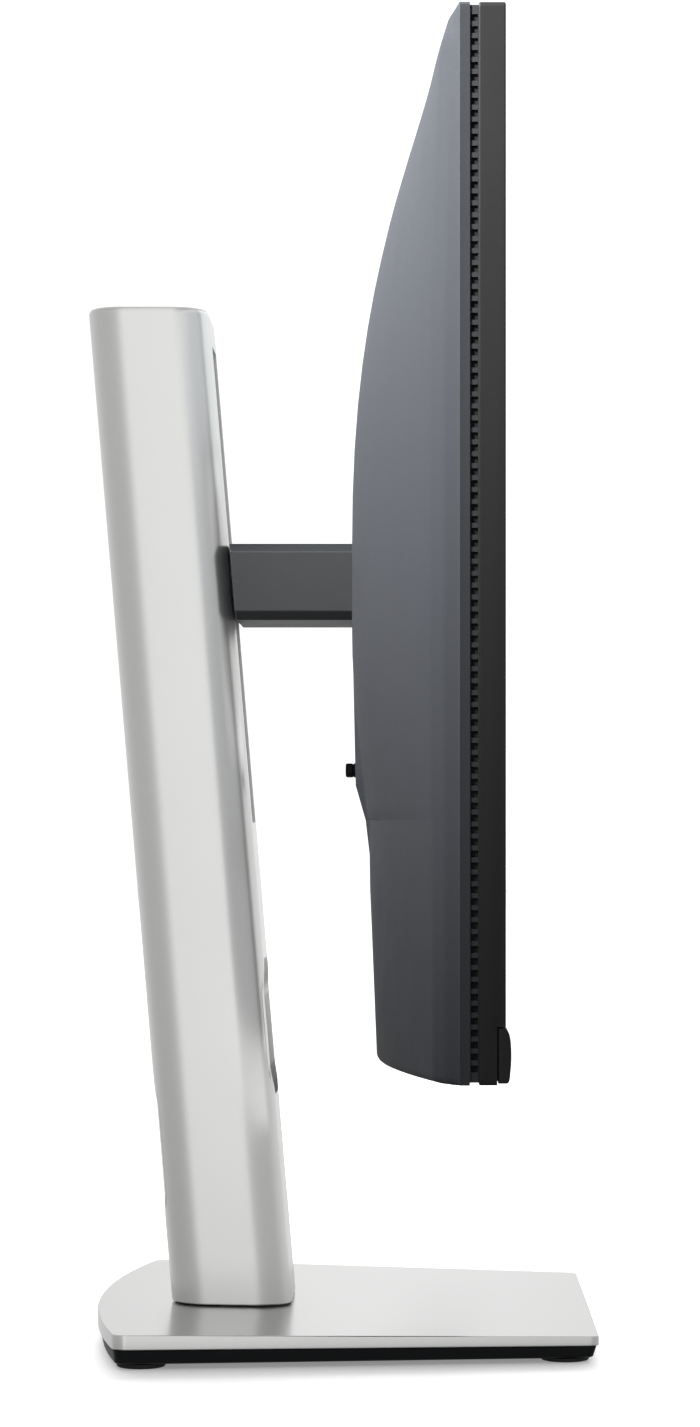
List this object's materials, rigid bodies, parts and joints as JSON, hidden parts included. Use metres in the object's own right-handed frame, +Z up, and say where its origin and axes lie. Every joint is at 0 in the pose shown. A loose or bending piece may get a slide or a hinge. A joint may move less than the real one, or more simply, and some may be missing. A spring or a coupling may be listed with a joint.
{
  "type": "computer monitor",
  "caption": "Flat widescreen desktop monitor on a stand with a wedge base, leaning column and short arm; it lifts, tilts, pivots and swivels, and its buttons press.",
  "frame": {"origin": "middle of the footprint, on the table top", "axes": "+Z up, the screen faces -Y, +X to the user's right"},
  "size_m": [0.5378, 0.178, 0.4192],
  "materials": {
    "dark_plastic": "fine textured moulding",
    "frame_plastic": "smooth satin moulding",
    "arm_plastic": "fine textured moulding",
    "black_plastic": "fine matt",
    "screen_glass": "anti-glare film",
    "diffuser": "translucent sheet, satin",
    "steel": "plated sheet",
    "silver_paint": "satin metallic paint",
    "board": "solder mask",
    "rubber": "moulded",
    "lens": "clear moulding"
  },
  "bodies": {
    "base": {"base_top_plate": "silver_paint", "base_tray": "black_plastic", "base_weight": "steel", "foot_front_left": "rubber", "foot_front_right": "rubber", "foot_rear_left": "rubber", "foot_rear_right": "rubber"},
    "column": {"swivel_disc": "steel", "column_foot": "silver_paint", "column_shell": "silver_paint", "cable_slot_liner": "silver_paint", "column_top_cap": "silver_paint", "lift_rail": "steel", "lift_spring_strip": "steel"},
    "thumbscrew": {"base_thumbscrew": "steel"},
    "thumbscrew_ring": {"thumbscrew_ring": "steel"},
    "arm": {"arm_housing": "arm_plastic", "arm_bracket": "steel", "lift_carriage": "steel", "slider_pad_left": "black_plastic", "slider_pad_right": "black_plastic", "spring_axle": "steel"},
    "spring_coil": {"lift_spring_coil": "steel"},
    "tilt_head": {"pivot_disc": "black_plastic", "tilt_bracket": "steel", "tilt_pin": "steel"},
    "display": {"quick_release_plate": "steel", "rear_cover": "dark_plastic", "display_frame": "frame_plastic", "chin_trim": "frame_plastic", "power_led_lens": "lens", "lcd_panel": "screen_glass", "diffuser_sheet": "diffuser", "light_guide": "diffuser", "led_strip": "steel", "backlight_tray": "steel", "timing_board": "board", "vent_grille_left": "dark_plastic", "vent_grille_right": "dark_plastic", "vent_grille_top": "dark_plastic", "vent_grille_bottom": "dark_plastic", "mount_chassis": "steel", "main_board": "board", "power_board": "board", "power_transformer": "black_plastic", "board_shield": "steel", "ac_inlet": "black_plastic", "digital_video_port_a": "steel", "digital_video_port_b": "steel", "analog_video_port": "steel", "usb_upstream_port": "steel", "usb_port_pair": "steel"},
    "release_button": {"stand_release_button": "black_plastic"},
    "release_latch": {"release_latch": "steel"},
    "stick_gimbal": {"joystick_gimbal": "black_plastic"},
    "stick_stem": {"joystick_stem": "black_plastic"},
    "stick_cap": {"joystick_cap": "black_plastic"},
    "power_button": {"power_button": "black_plastic"}
  },
  "joints": [
    {"name": "base_swivel", "type": "hinge", "parent": "base", "child": "column", "pos_m": [0, 0.03825, 0], "axis": [0, 0, 1], "range_deg": [-45, 45]},
    {"name": "thumbscrew_turn", "type": "hinge", "parent": "column", "child": "thumbscrew", "pos_m": [0, 0.03825, 0.002], "axis": [0, 0, 1], "continuous": true},
    {"name": "thumbscrew_ring_fold", "type": "hinge", "parent": "thumbscrew", "child": "thumbscrew_ring", "pos_m": [0, 0.04105, 0.00205], "axis": [1, 0, 0], "range_deg": [0, 90]},
    {"name": "lift", "type": "slide", "parent": "column", "child": "arm", "axis": [0, 0.0843, 0.9964], "range_m": [-0.07326, 0.07728]},
    {"name": "spring_coil_turn", "type": "hinge", "parent": "arm", "child": "spring_coil", "pos_m": [0, 0.05592, 0.238], "axis": [1, 0, 0], "range_deg": [-560, 560]},
    {"name": "tilt", "type": "hinge", "parent": "arm", "child": "tilt_head", "pos_m": [0, -0.00915, 0.267], "axis": [-1, 0, 0], "range_deg": [-5, 21]},
    {"name": "pivot", "type": "hinge", "parent": "tilt_head", "child": "display", "pos_m": [0, -0.00915, 0.267], "axis": [0, 1, 0], "range_deg": [-5, 25]},
    {"name": "release_press", "type": "slide", "parent": "display", "child": "release_button", "axis": [0, -1, 0], "range_m": [0, 0.0025], "stiffness_N_per_m": 600},
    {"name": "latch_slide", "type": "slide", "parent": "display", "child": "release_latch", "axis": [0, 0, -1], "range_m": [0, 0.002]},
    {"name": "stick_pitch", "type": "hinge", "parent": "display", "child": "stick_gimbal", "pos_m": [0.205, -0.02604, 0.14], "axis": [1, 0, 0], "range_deg": [-5, 5], "stiffness_Nm_per_rad": 0.06},
    {"name": "stick_yaw", "type": "hinge", "parent": "stick_gimbal", "child": "stick_stem", "pos_m": [0.205, -0.02604, 0.14], "axis": [0, 0, 1], "range_deg": [-5, 5], "stiffness_Nm_per_rad": 0.06},
    {"name": "stick_press", "type": "slide", "parent": "stick_stem", "child": "stick_cap", "axis": [0, -1, 0], "range_m": [0, 0.0004], "stiffness_N_per_m": 800},
    {"name": "power_press", "type": "slide", "parent": "display", "child": "power_button", "axis": [0, -1, 0], "range_m": [0, 0.0006], "stiffness_N_per_m": 800}
  ],
  "couplings": [
    {"joint": "spring_coil_turn", "follows": "lift", "rad_per_m": -119.05},
    {"joint": "latch_slide", "follows": "release_press", "ratio": 0.8}
  ]
}
